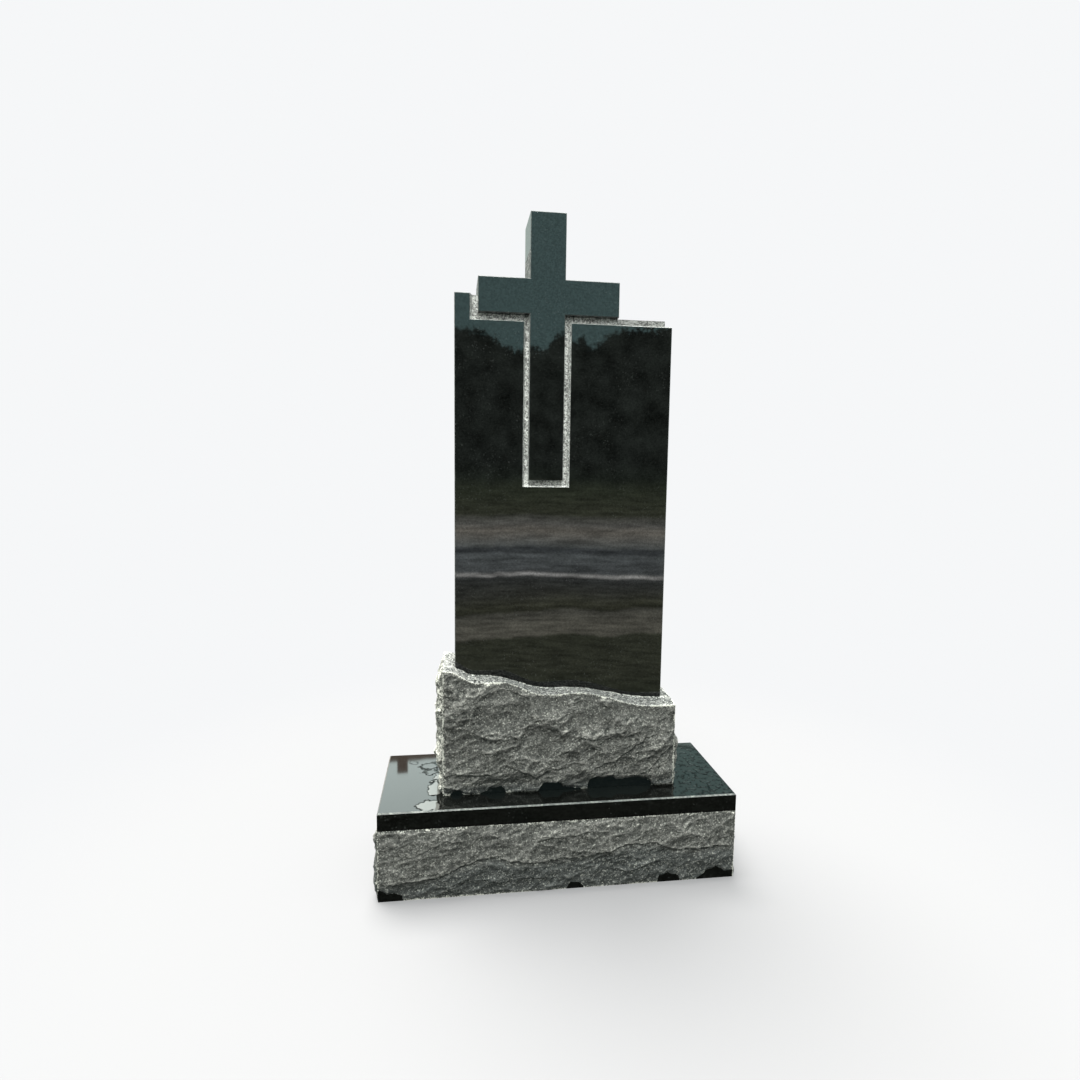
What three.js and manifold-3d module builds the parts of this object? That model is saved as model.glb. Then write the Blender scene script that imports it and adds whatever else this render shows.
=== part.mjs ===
// Granite cross headstone on its base.
// Millimetres, +Z up. The front looks along -Y, and the origin is the middle of the base's underside.

import * as THREE from 'three';
import { mergeVertices } from 'three/addons/utils/BufferGeometryUtils.js';
import Module from 'manifold-3d';

const wasm = await Module();
wasm.setup();

// Base: a block with a polished top and margin and struck sides
const baseWidth = 900;
const baseDepth = 320;
const baseHeight = 225;
const baseMargin = 45;
const baseArris = 3;
const baseProud = 14;
const settingGap = 0.3;

// Foot of the headstone: the rough block below the wavy ledge
const footWidth = 600;
const footDepth = 180;
const footShift = 5;
const footProud = 25;
const ledgeHigh = 320;
const ledgeFrontSteps = [
  { from: 0.02, to: 0.14, drop: 31 },
  { from: 0.24, to: 0.43, drop: 36 },
  { from: 0.46, to: 0.56, drop: -2.5 },
  { from: 0.565, to: 0.89, drop: 41 },
];
const ledgeSlabSteps = [
  { from: 0.02, to: 0.14, drop: 26.5 },
  { from: 0.17, to: 0.46, drop: 39.5 },
  { from: 0.53, to: 0.93, drop: 33.5 },
];

// Slab: the polished upright, set back from the foot's edges
const headstoneHeight = 1441;
const leftLedge = 30;
const rightLedge = 24;
const frontLedge = 52;
const backLedge = 2;
const slabSunk = 60;
const leftShoulderDrop = 41;

// Cross: proud of its groove in the face, and free above the shoulders
const barWidth = 88;
const armHeight = 84;
const upperArmRise = 157;
const stemDrop = 407;
const leftArmReach = 127;
const rightArmReach = 136;
const stemFromLeft = 184;

// Groove: the tooled channel round the cross, with an outer wall that slopes in towards its floor
const grooveDepth = 20;
const grooveSlope = 6;
const grooveUnderArms = 20;
const grooveLeftOfArm = 20;
const grooveLeftOfStem = 15;
const grooveRightOfStem = 17;
const grooveUnderStem = 17;
const stripStop = 13;

// Struck faces: flakes struck off from the edges meet in ridges, and smaller scoops break them up
const rockCell = 22;
const flakeSpacing = 105;
const flakeReach = 95;
const sideReach = 60;
const scoopSpacing = 58;
const scoopDepth = 0.32;

// Places worked out from the sizes above
const footLeft = footShift - footWidth / 2;
const footRight = footLeft + footWidth;
const footFront = -footDepth / 2;
const footBack = footFront + footDepth;
const footBottom = baseHeight + settingGap;
const slabLeft = footLeft + leftLedge;
const slabRight = footRight - rightLedge;
const slabFront = footFront + frontLedge;
const slabBack = footBack - backLedge;
const slabBottom = footBottom + slabSunk;
const crossTop = baseHeight + headstoneHeight;
const armTop = crossTop - upperArmRise;
const armUnder = armTop - armHeight;
const stemLeft = slabLeft + stemFromLeft;
const stemRight = stemLeft + barWidth;
const stemBottom = armUnder - stemDrop;
const armLeft = stemLeft - leftArmReach;
const armRight = stemRight + rightArmReach;
const leftShoulder = armTop - leftShoulderDrop;
const rightShoulder = armUnder - grooveUnderArms;

// A repeatable number from 0 to 1 for one flake or scoop of one face.
function chance(column, row, seed) {
  const wave = Math.sin(column * 127.1 + row * 311.7 + seed * 74.7) * 43758.5453;
  return wave - Math.floor(wave);
}

// Stone left by the flakes struck off along one edge: steep at the arris, then easing to a ridge.
function struckFromEdge(distance, along, reach, seed) {
  const home = Math.floor(along / flakeSpacing);
  let stone = Infinity;
  for (let flake = home - 1; flake <= home + 1; flake += 1) {
    const centre = (flake + 0.2 + 0.6 * chance(flake, 0, seed)) * flakeSpacing;
    const run = Math.min(1, distance / (reach * (0.7 + 0.7 * chance(flake, 1, seed))));
    const rise = 1 - (1 - run) ** 1.8;
    const aside = (along - centre) / flakeSpacing;
    const level = 0.62 + 0.3 * chance(flake, 2, seed);
    stone = Math.min(stone, rise * (level + 1.1 * aside ** 2));
  }
  return stone;
}

// How deep the nearest small scoop cuts, from 0 on the ridges between scoops to 1 in its middle.
function scoopCut(across, up, seed) {
  const homeColumn = Math.floor(across / scoopSpacing);
  const homeRow = Math.floor(up / scoopSpacing);
  let nearest = Infinity;
  for (let column = homeColumn - 1; column <= homeColumn + 1; column += 1) {
    for (let row = homeRow - 1; row <= homeRow + 1; row += 1) {
      const centreAcross = (column + chance(column, row, seed)) * scoopSpacing;
      const centreUp = (row + chance(column, row, seed + 1)) * scoopSpacing;
      const away = Math.hypot(across - centreAcross, (up - centreUp) * 1.4) / scoopSpacing;
      const shallower = 0.5 * chance(column, row, seed + 2);
      nearest = Math.min(nearest, shallower + away ** 2);
    }
  }
  return Math.max(0, 1 - nearest);
}

// How proud a struck face stands at a place, from 0 on its arrises to about 1 on its ridges.
function struckHeight(across, up, width, height, seed) {
  const stone = Math.min(
    struckFromEdge(height - up, across, flakeReach, seed),
    struckFromEdge(up, across, flakeReach, seed + 2),
    struckFromEdge(across, up, sideReach, seed + 4),
    struckFromEdge(width - across, up, sideReach, seed + 6),
  );
  return stone * (1 - scoopDepth * scoopCut(across, up, seed + 8));
}

// How far a ledge has fallen at a share of the foot's width, in soft steps to the right.
function fallAt(share, steps) {
  const falls = steps.map((step) => step.drop * THREE.MathUtils.smoothstep(share, step.from, step.to));
  return falls.reduce((sum, fall) => sum + fall, 0);
}

// Height of the foot's wavy ledge over the underside. Its front edge waves more than its line at the slab.
function ledgeHeight(x, y) {
  const share = (x - footLeft) / footWidth;
  const inward = THREE.MathUtils.clamp((y - footFront) / frontLedge, 0, 1);
  const fallAtFront = fallAt(share, ledgeFrontSteps);
  const fallAtSlab = fallAt(share, ledgeSlabSteps);
  return ledgeHigh - THREE.MathUtils.lerp(fallAtFront, fallAtSlab, inward);
}

// The four sides of a block, each with its start corner, direction along, outward way and length.
function blockSides(left, front, width, depth) {
  return [
    { x: left, y: front, along: [1, 0], out: [0, -1], length: width },
    { x: left + width, y: front, along: [0, 1], out: [1, 0], length: depth },
    { x: left + width, y: front + depth, along: [-1, 0], out: [0, 1], length: width },
    { x: left, y: front + depth, along: [0, -1], out: [-1, 0], length: depth },
  ];
}

// One ring of points per row round a block, with the struck faces pushed out by their relief.
function struckRings({ left, front, width, depth, bottom, heightAt, proud, seed }) {
  const tallest = Math.max(heightAt(left, front), heightAt(left + width, front));
  const rowCount = Math.round(tallest / rockCell);
  const rings = Array.from({ length: rowCount + 1 }, () => []);
  blockSides(left, front, width, depth).forEach((side, sideNumber) => {
    const columnCount = Math.max(2, Math.round(side.length / rockCell));
    const places = [];
    for (let row = 0; row <= rowCount; row += 1) {
      for (let column = 0; column < columnCount; column += 1) {
        const across = (side.length * column) / columnCount;
        const x = side.x + side.along[0] * across;
        const y = side.y + side.along[1] * across;
        const height = heightAt(x, y);
        const up = (height * row) / rowCount;
        const stone = struckHeight(across, up, side.length, height, seed + 20 * sideNumber);
        places.push({ row, x, y, z: bottom + up, stone });
      }
    }
    const proudest = Math.max(...places.map((place) => place.stone));
    for (const place of places) {
      const push = (proud * place.stone) / proudest;
      const point = [place.x + side.out[0] * push, place.y + side.out[1] * push, place.z];
      rings[place.row].push(point);
    }
  });
  return rings;
}

// Triangles of a closed skin: rings joined row by row, a flat floor, and the given top with its inner points.
function skinGeometry(rings, topTriangles, innerPoints = []) {
  const count = rings[0].length;
  const positions = [...rings.flat(2), ...innerPoints.flat()];
  const index = [];
  for (let row = 0; row < rings.length - 1; row += 1) {
    for (let place = 0; place < count; place += 1) {
      const here = row * count + place;
      const next = row * count + ((place + 1) % count);
      index.push(here, next, next + count, here, next + count, here + count);
    }
  }
  const bottom = rings[0];
  const middle = [0, 1, 2].map((axis) => bottom.reduce((sum, point) => sum + point[axis], 0) / count);
  const floorCentre = positions.length / 3;
  positions.push(...middle);
  for (let place = 0; place < count; place += 1) {
    index.push(floorCentre, (place + 1) % count, place);
  }
  index.push(...topTriangles);
  const geometry = new THREE.BufferGeometry();
  geometry.setAttribute('position', new THREE.Float32BufferAttribute(positions, 3));
  geometry.setIndex(index);
  return geometry;
}

// Triangles that fill a flat outline, as corner numbers.
function flatTriangles(outline) {
  const corners = outline.map(([x, y]) => new THREE.Vector2(x, y));
  return THREE.ShapeUtils.triangulateShape(corners, []);
}

// The base: struck rings below, then the polished margin, its arris and the flat top.
function baseGeometry() {
  const left = -baseWidth / 2;
  const front = -baseDepth / 2;
  const struckTop = baseHeight - baseMargin;
  const rings = struckRings({
    left,
    front,
    width: baseWidth,
    depth: baseDepth,
    bottom: 0,
    heightAt: () => struckTop,
    proud: baseProud,
    seed: 3,
  });
  const rim = rings[rings.length - 1];
  const shrinkX = 1 - baseArris / (baseWidth / 2);
  const shrinkY = 1 - baseArris / (baseDepth / 2);
  rings.push(rim.map(([x, y]) => [x, y, baseHeight - baseArris]));
  rings.push(rim.map(([x, y]) => [x * shrinkX, y * shrinkY, baseHeight]));
  const first = (rings.length - 1) * rim.length;
  const topTriangles = flatTriangles(rings[rings.length - 1]).flat().map((corner) => first + corner);
  return skinGeometry(rings, topTriangles);
}

// The foot: struck rings up to the wavy ledge, which is a grid of points inside the top ring.
function footGeometry() {
  const rings = struckRings({
    left: footLeft,
    front: footFront,
    width: footWidth,
    depth: footDepth,
    bottom: footBottom,
    heightAt: ledgeHeight,
    proud: footProud,
    seed: 61,
  });
  const top = rings[rings.length - 1];
  const topFirst = (rings.length - 1) * top.length;
  const acrossCount = Math.round(footWidth / rockCell);
  const deepCount = (top.length - 2 * acrossCount) / 2;
  const innerPoints = [];
  for (let column = 1; column < acrossCount; column += 1) {
    for (let row = 1; row < deepCount; row += 1) {
      const x = footLeft + (footWidth * column) / acrossCount;
      const y = footFront + (footDepth * row) / deepCount;
      innerPoints.push([x, y, footBottom + ledgeHeight(x, y)]);
    }
  }
  const innerFirst = topFirst + top.length;
  const ledgePoint = (column, row) => {
    if (row === 0) return topFirst + column;
    if (column === acrossCount) return topFirst + acrossCount + row;
    if (row === deepCount) return topFirst + 2 * acrossCount + deepCount - column;
    if (column === 0) return topFirst + 2 * acrossCount + 2 * deepCount - row;
    return innerFirst + (column - 1) * (deepCount - 1) + row - 1;
  };
  const topTriangles = [];
  for (let column = 0; column < acrossCount; column += 1) {
    for (let row = 0; row < deepCount; row += 1) {
      const here = ledgePoint(column, row);
      const right = ledgePoint(column + 1, row);
      const behind = ledgePoint(column, row + 1);
      const across = ledgePoint(column + 1, row + 1);
      topTriangles.push(here, right, across, here, across, behind);
    }
  }
  return skinGeometry(rings, topTriangles, innerPoints);
}

// An outline in x and z, given a depth from one y to another.
function uprightGeometry(outline, fromY, toY) {
  const shape = new THREE.Shape(outline.map(([x, z]) => new THREE.Vector2(x, z)));
  const geometry = new THREE.ExtrudeGeometry(shape, { depth: toY - fromY, bevelEnabled: false, steps: 1 });
  geometry.rotateX(Math.PI / 2);
  geometry.translate(0, toY, 0);
  return geometry;
}

// The polished face round the groove, with the channel's outer edge moved into the channel.
function faceOutline(moved) {
  const rightOfStem = stemRight + grooveRightOfStem - moved;
  const leftOfStem = stemLeft - grooveLeftOfStem + moved;
  const leftOfArm = armLeft - grooveLeftOfArm + moved;
  const underStem = stemBottom - grooveUnderStem + moved;
  const underArms = rightShoulder + moved;
  return [
    [slabLeft, slabBottom],
    [slabRight, slabBottom],
    [slabRight, underArms],
    [rightOfStem, underArms],
    [rightOfStem, underStem],
    [leftOfStem, underStem],
    [leftOfStem, underArms],
    [leftOfArm, underArms],
    [leftOfArm, leftShoulder],
    [slabLeft, leftShoulder],
  ];
}

// A closed stone between an outline in front and one with as many corners behind it.
function slopedGeometry(frontOutline, backOutline, fromY, toY) {
  const count = frontOutline.length;
  const pointsAt = (outline, y) => outline.flatMap(([x, z]) => [x, y, z]);
  const positions = [...pointsAt(frontOutline, fromY), ...pointsAt(backOutline, toY)];
  const frontCap = flatTriangles(frontOutline);
  const backCap = flatTriangles(backOutline).map(([a, b, c]) => [a + count, c + count, b + count]);
  const index = [...frontCap.flat(), ...backCap.flat()];
  for (let corner = 0; corner < count; corner += 1) {
    const next = (corner + 1) % count;
    index.push(corner, corner + count, next + count, corner, next + count, next);
  }
  const geometry = new THREE.BufferGeometry();
  geometry.setAttribute('position', new THREE.Float32BufferAttribute(positions, 3));
  geometry.setIndex(index);
  return geometry;
}

// The floor of the groove, which runs up to the arms' underside and out to the right.
function grooveFloorOutline() {
  return [
    [slabLeft, slabBottom],
    [slabRight - stripStop, slabBottom],
    [slabRight - stripStop, armUnder],
    [stemRight, armUnder],
    [stemRight, leftShoulder],
    [slabLeft, leftShoulder],
  ];
}

function crossOutline() {
  return [
    [stemLeft, stemBottom],
    [stemRight, stemBottom],
    [stemRight, armUnder],
    [armRight, armUnder],
    [armRight, armTop],
    [stemRight, armTop],
    [stemRight, crossTop],
    [stemLeft, crossTop],
    [stemLeft, armTop],
    [armLeft, armTop],
    [armLeft, armUnder],
    [stemLeft, armUnder],
  ];
}

// A closed geometry as a solid that can be joined to others.
function toSolid(geometry) {
  geometry.deleteAttribute('normal');
  geometry.deleteAttribute('uv');
  const merged = mergeVertices(geometry, 1e-3);
  const mesh = new wasm.Mesh({
    numProp: 3,
    vertProperties: Float32Array.from(merged.attributes.position.array),
    triVerts: Uint32Array.from(merged.index.array),
  });
  return new wasm.Manifold(mesh);
}

function fromSolid(solid) {
  const mesh = solid.getMesh();
  const geometry = new THREE.BufferGeometry();
  geometry.setAttribute('position', new THREE.BufferAttribute(Float32Array.from(mesh.vertProperties), 3));
  geometry.setIndex(new THREE.BufferAttribute(Uint32Array.from(mesh.triVerts), 1));
  return geometry;
}

// The headstone is one stone: foot, slab and cross joined.
function headstoneGeometry() {
  const parts = [
    footGeometry(),
    slopedGeometry(faceOutline(0), faceOutline(grooveSlope), slabFront, slabFront + grooveDepth),
    uprightGeometry(faceOutline(0), slabFront, slabBack),
    uprightGeometry(grooveFloorOutline(), slabFront + grooveDepth, slabBack),
    uprightGeometry(crossOutline(), slabFront, slabBack),
  ];
  return fromSolid(parts.map(toSolid).reduce((whole, part) => whole.add(part)));
}

function stoneMesh(name, geometry, color, roughness) {
  const solidGeometry = geometry.clone();
  solidGeometry.computeVertexNormals();
  const material = new THREE.MeshStandardMaterial({ color, roughness, metalness: 0 });
  const mesh = new THREE.Mesh(solidGeometry, material);
  mesh.name = name;
  return mesh;
}

const memorial = new THREE.Group();
memorial.add(stoneMesh('base', baseGeometry(), 0x4b504d, 0.7));
memorial.add(stoneMesh('headstone', headstoneGeometry(), 0x242a27, 0.3));

export default memorial;
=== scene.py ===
# Granite cross headstone on its base: fine struck faces, tooled channel, polish, and a soft light.
# Metres, +Z up. The front looks along -Y, and the origin is the middle of the base's underside.
import math

import bmesh
import bpy
import numpy as np
from mathutils import Matrix, Vector


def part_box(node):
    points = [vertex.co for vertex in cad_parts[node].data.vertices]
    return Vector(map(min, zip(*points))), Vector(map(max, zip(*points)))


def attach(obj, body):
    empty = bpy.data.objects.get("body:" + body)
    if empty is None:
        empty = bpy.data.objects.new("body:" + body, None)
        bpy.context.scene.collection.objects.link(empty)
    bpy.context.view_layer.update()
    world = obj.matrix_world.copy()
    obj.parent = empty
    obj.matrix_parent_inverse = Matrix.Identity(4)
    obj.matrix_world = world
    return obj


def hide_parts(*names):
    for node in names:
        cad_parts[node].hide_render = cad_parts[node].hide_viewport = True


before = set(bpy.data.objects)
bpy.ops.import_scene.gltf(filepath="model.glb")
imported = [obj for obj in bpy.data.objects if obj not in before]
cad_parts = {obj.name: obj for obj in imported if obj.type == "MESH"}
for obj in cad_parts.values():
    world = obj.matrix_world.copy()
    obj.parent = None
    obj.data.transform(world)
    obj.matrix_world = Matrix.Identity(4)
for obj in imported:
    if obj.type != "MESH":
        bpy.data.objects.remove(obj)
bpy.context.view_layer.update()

base_low, base_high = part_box("base")
headstone_low, headstone_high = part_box("headstone")

# Base
base_proud = 0.014
base_margin = 0.045
base_arris = 0.003
base_rim_wear = 0.6
base_width = base_high.x - base_low.x - 2 * base_proud
base_depth = base_high.y - base_low.y - 2 * base_proud
base_height = base_high.z

# Foot of the headstone, below the wavy ledge
foot_proud = 0.025
foot_width = 0.600
foot_depth = 0.180
foot_shift = 0.005
foot_bottom = headstone_low.z
ledge_high = 0.320
ledge_front_steps = [(0.02, 0.14, 0.031), (0.24, 0.43, 0.036), (0.46, 0.56, -0.0025), (0.565, 0.89, 0.041)]
ledge_slab_steps = [(0.02, 0.14, 0.0265), (0.17, 0.46, 0.0395), (0.53, 0.93, 0.0335)]
foot_left = foot_shift - foot_width / 2
foot_front = -foot_depth / 2

# Slab and cross
left_ledge = 0.030
right_ledge = 0.024
front_ledge = 0.052
back_ledge = 0.002
slab_sunk = 0.060
left_shoulder_drop = 0.041
bar_width = 0.088
arm_height = 0.084
upper_arm_rise = 0.157
stem_drop = 0.407
left_arm_reach = 0.127
right_arm_reach = 0.136
stem_from_left = 0.184
slab_arris = 0.0014
polish_stop = 0.071
slab_left = foot_left + left_ledge
slab_right = foot_left + foot_width - right_ledge
slab_front = foot_front + front_ledge
slab_back = foot_front + foot_depth - back_ledge
slab_bottom = foot_bottom + slab_sunk
cross_top = headstone_high.z
arm_top = cross_top - upper_arm_rise
arm_under = arm_top - arm_height
stem_left = slab_left + stem_from_left
stem_right = stem_left + bar_width
stem_bottom = arm_under - stem_drop
arm_left = stem_left - left_arm_reach
arm_right = stem_right + right_arm_reach
left_shoulder = arm_top - left_shoulder_drop

# Channel cut round the cross, with sloping outer walls
groove_depth = 0.020
groove_under_arms = 0.020
groove_left_of_arm = 0.020
groove_left_of_stem = 0.015
groove_right_of_stem = 0.017
groove_under_stem = 0.017
groove_slope = 0.006
strip_stop = 0.013
# Painted shade on the open channel floor beyond the right arm, as a share of its tone
strip_painted_shade = 0.42
groove_lip = 0.0008
groove_floor = slab_front + groove_depth
right_shoulder = arm_under - groove_under_arms

# How far the parts of the headstone reach into each other before they are joined
overlap = 0.002

# Struck faces
rock_cell = 0.003
flake_spacing = 0.105
flake_reach = 0.095
side_reach = 0.060
scoop_spacing = 0.058
scoop_depth = 0.32
calm_rim = 0.007
clear_of_remnants = 0.009
no_remnant = -0.004
least_relief = 0.002
ridge_relief = 0.0012
scallop_lean = math.radians(16)
scallop_levels = [(0.080, 1.2, 0.0135), (0.037, 1.4, 0.0070), (0.017, 1.7, 0.0023), (0.0085, 1.6, 0.0009)]

# Bowls that big flakes left in the foot's front: centre across and up, half width, half height, depth
foot_bowls = [
    (0.150, 0.206, 0.078, 0.052, 0.0140),
    (0.372, 0.186, 0.062, 0.045, 0.0130),
    (0.458, 0.205, 0.048, 0.028, 0.0095),
    (0.262, 0.222, 0.062, 0.026, 0.0070),
    (0.545, 0.165, 0.060, 0.045, 0.0080),
    (0.060, 0.110, 0.060, 0.070, 0.0060),
    (0.250, 0.125, 0.060, 0.040, 0.0080),
    (0.420, 0.085, 0.080, 0.040, 0.0060),
]
# Broken edges, where the stone above stands proud of the stone below: step, then points across and up
foot_breaks = [
    (0.0060, (0.075, 0.150), (0.130, 0.162), (0.190, 0.150), (0.215, 0.172)),
    (0.0065, (0.330, 0.150), (0.375, 0.138), (0.420, 0.152)),
    (0.0060, (0.380, 0.060), (0.437, 0.076), (0.520, 0.134), (0.560, 0.140)),
    (0.0055, (0.470, 0.030), (0.520, 0.044), (0.599, 0.118)),
    (0.0050, (0.150, 0.080), (0.234, 0.043), (0.262, 0.060), (0.322, 0.066)),
    (0.0045, (0.340, 0.103), (0.375, 0.117), (0.410, 0.100)),
    (0.0050, (0.010, 0.060), (0.080, 0.052), (0.150, 0.070)),
]
base_breaks = [
    (0.0075, (0.000, 0.044), (0.060, 0.050), (0.140, 0.060), (0.200, 0.083), (0.290, 0.103), (0.330, 0.086),
     (0.380, 0.082), (0.460, 0.088), (0.520, 0.086), (0.570, 0.101), (0.640, 0.112), (0.700, 0.108),
     (0.740, 0.089), (0.790, 0.085), (0.840, 0.097), (0.899, 0.082)),
    (0.0045, (0.020, 0.100), (0.090, 0.120), (0.160, 0.150), (0.220, 0.145)),
    (0.0045, (0.240, 0.040), (0.300, 0.036), (0.370, 0.040), (0.440, 0.030)),
    (0.0050, (0.560, 0.050), (0.620, 0.045), (0.690, 0.062), (0.720, 0.052)),
    (0.0045, (0.360, 0.130), (0.430, 0.144), (0.520, 0.150), (0.600, 0.140)),
    (0.0040, (0.640, 0.150), (0.720, 0.146), (0.800, 0.130)),
]

# What is left of the flat polished face along the front's lower edge: its upper outline, along and up
foot_remnants = [
    [(0.018, 0.0), (0.024, 0.009), (0.031, 0.012), (0.043, 0.011), (0.048, 0.005), (0.052, 0.0)],
    [(0.090, 0.0), (0.100, 0.003), (0.108, 0.006), (0.117, 0.014), (0.147, 0.017), (0.154, 0.013),
     (0.160, 0.0)],
    [(0.240, 0.0), (0.254, 0.018), (0.264, 0.021), (0.277, 0.018), (0.292, 0.020), (0.299, 0.017),
     (0.308, 0.008), (0.320, 0.007), (0.336, 0.004), (0.352, 0.002), (0.356, 0.0)],
    [(0.370, 0.0), (0.373, 0.018), (0.382, 0.025), (0.392, 0.028), (0.407, 0.025), (0.429, 0.028),
     (0.438, 0.029), (0.447, 0.021), (0.462, 0.021), (0.492, 0.025), (0.514, 0.022), (0.529, 0.017),
     (0.537, 0.011), (0.541, 0.0)],
]
base_remnants = [
    [(0.0, 0.030), (0.010, 0.027), (0.023, 0.0195), (0.040, 0.022), (0.048, 0.0165), (0.057, 0.012),
     (0.060, 0.0)],
    [(0.462, 0.0), (0.466, 0.011), (0.473, 0.018), (0.488, 0.016), (0.498, 0.012), (0.507, 0.0)],
    [(0.698, 0.0), (0.700, 0.018), (0.712, 0.019), (0.725, 0.0235), (0.737, 0.0185), (0.748, 0.0187),
     (0.753, 0.012), (0.757, 0.0)],
    [(0.800, 0.0), (0.804, 0.0035), (0.818, 0.0125), (0.828, 0.024), (0.843, 0.027), (0.853, 0.031),
     (0.863, 0.027), (0.878, 0.017), (0.899, 0.019)],
]

# Rain left on the base's top: pools and drops by centre across and inward, and half sizes
milky_pools = [
    (-0.312, -0.048, 0.022, 0.040),
    (-0.325, -0.136, 0.030, 0.030),
    (-0.311, 0.008, 0.012, 0.013),
]
clear_drops = [(-0.378, 0.105, 0.014, 0.012), (-0.333, 0.080, 0.024, 0.022), (-0.330, 0.045, 0.022, 0.016)]
beads_from = 0.296

# Order of the finishes on every stone mesh
POLISHED, STRUCK, TOOLED, FROSTED, ARRIS, WET = range(6)

# Arms and head, from under the right arm round to the left arm's top, and the finish of each side
side_stop = arm_top + polish_stop
head_outline = [
    (arm_right, arm_under),
    (arm_right, arm_top),
    (stem_right + polish_stop, arm_top),
    (stem_right, arm_top),
    (stem_right, side_stop),
    (stem_right, cross_top),
    (stem_left, cross_top),
    (stem_left, side_stop),
    (stem_left, arm_top),
    (stem_left - polish_stop, arm_top),
    (arm_left, arm_top),
]
head_sides = [POLISHED, POLISHED, FROSTED, FROSTED, POLISHED, POLISHED, POLISHED]
head_sides += [FROSTED, FROSTED, POLISHED]


def add_object(name, data):
    made = bpy.data.objects.new(name, data)
    bpy.context.scene.collection.objects.link(made)
    return made


def make_camera():
    """The photograph's viewpoint: a little left of the stone, looking slightly down."""
    place = (-0.26384, -1.64680, 1.03713)
    turned_right = math.radians(7.59)
    tipped_down = math.radians(5.97)
    leaning = math.radians(0.70)
    data = bpy.data.cameras.new("camera")
    data.sensor_width = 36
    data.lens = 21.37
    camera = add_object("camera", data)
    camera.matrix_world = (
        Matrix.Translation(place)
        @ Matrix.Rotation(-turned_right, 4, "Z")
        @ Matrix.Rotation(math.pi / 2 - tipped_down, 4, "X")
        @ Matrix.Rotation(leaning, 4, "Z")
    )
    bpy.context.scene.camera = camera


def chance(column, row, seed):
    """A repeatable number from 0 to 1 for one flake, scoop or grid corner."""
    wave = np.sin(column * 127.1 + row * 311.7 + seed * 74.7) * 43758.5453
    return wave - np.floor(wave)


def smooth(value, start, end):
    share = np.clip((value - start) / (end - start), 0, 1)
    return share * share * (3 - 2 * share)


def ripple(across, up, size, seed):
    """Soft noise from -1 to 1 with waves of about that size."""
    u, v = across / size, up / size
    column, row = np.floor(u), np.floor(v)
    su, sv = smooth(u - column, 0, 1), smooth(v - row, 0, 1)
    low = chance(column, row, seed) * (1 - su) + chance(column + 1, row, seed) * su
    high = chance(column, row + 1, seed) * (1 - su) + chance(column + 1, row + 1, seed) * su
    return 2 * (low * (1 - sv) + high * sv) - 1


def struck_from_edge(distance, along, reach, seed):
    """Stone left by the flakes struck off along one edge: steep at the arris, then easing to a ridge."""
    home = np.floor(along / flake_spacing)
    stone = np.inf
    for flake in (home - 1, home, home + 1):
        centre = (flake + 0.2 + 0.6 * chance(flake, 0, seed)) * flake_spacing
        run = np.minimum(1, distance / (reach * (0.7 + 0.7 * chance(flake, 1, seed))))
        rise = 1 - (1 - run) ** 1.8
        aside = (along - centre) / flake_spacing
        level = 0.62 + 0.3 * chance(flake, 2, seed)
        stone = np.minimum(stone, rise * (level + 1.1 * aside**2))
    return stone


def scoop_cut(across, up, spacing, seed):
    """How deep the nearest scoop cuts, from 0 on the ridges between scoops to 1 in its middle."""
    home_column, home_row = np.floor(across / spacing), np.floor(up / spacing)
    nearest = np.inf
    for column in (home_column - 1, home_column, home_column + 1):
        for row in (home_row - 1, home_row, home_row + 1):
            centre_across = (column + chance(column, row, seed)) * spacing
            centre_up = (row + chance(column, row, seed + 1)) * spacing
            away = np.hypot(across - centre_across, (up - centre_up) * 1.4) / spacing
            nearest = np.minimum(nearest, 0.5 * chance(column, row, seed + 2) + away**2)
    return np.maximum(0, 1 - nearest)


def struck_height(across, up, width, height, seed):
    """How proud a struck face stands, from 0 on its arrises to about 1 on its ridges."""
    stone = np.minimum.reduce([
        struck_from_edge(height - up, across, flake_reach, seed),
        struck_from_edge(up, across, flake_reach, seed + 2),
        struck_from_edge(across, up, side_reach, seed + 4),
        struck_from_edge(width - across, up, side_reach, seed + 6),
    ])
    return stone * (1 - scoop_depth * scoop_cut(across, up, scoop_spacing, seed + 8))


def scallops(across, up, spacing, flatness, seed):
    """Shallow shells side by side, wider than high and leaning, with sharp ridges between them."""
    turned = across * math.cos(scallop_lean) + up * math.sin(scallop_lean)
    raised = (up * math.cos(scallop_lean) - across * math.sin(scallop_lean)) * flatness
    turned = turned + 0.35 * spacing * ripple(across, up, 0.8 * spacing, seed + 3)
    raised = raised + 0.35 * spacing * ripple(across, up, 0.7 * spacing, seed + 4)
    return 0.55 - scoop_cut(turned, raised, spacing, seed)


def bowl_cut(across, up, bowls):
    """Depth of the placed bowls, deepest a little above their sharp lower rims."""
    cut = np.zeros(across.shape)
    for centre_across, centre_up, half_width, half_height, depth in bowls:
        seed = centre_across * 100
        aside = (across - centre_across) / half_width + 0.18 * ripple(across, up, 0.030, seed)
        above = (up - centre_up) / half_height + 0.18 * ripple(across, up, 0.026, seed + 1)
        above = np.where(above < 0, above * 1.05, above * 0.8)
        cut = np.maximum(cut, depth * np.maximum(0, 1 - aside**2 - above**2) ** 0.7)
    return cut


def broken_edges(across, up, breaks):
    """Stone left proud just above each placed edge, thinning out upward and towards the edge's ends."""
    proud = np.zeros(across.shape)
    for step, *points in breaks:
        places, heights = zip(*points)
        seed = step * 1e4
        ragged = 0.004 * ripple(across, up, 0.030, seed) + 0.0025 * ripple(across, up, 0.010, seed + 1)
        above = up - np.interp(across, places, heights) - ragged
        ends = smooth(across, places[0], places[0] + 0.03)
        ends = ends * (1 - smooth(across, places[-1] - 0.03, places[-1]))
        thinning = smooth(above, -0.003, 0.001) * np.exp(-np.maximum(above, 0) / 0.030)
        proud = np.maximum(proud, step * ends * thinning)
    return proud


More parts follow.
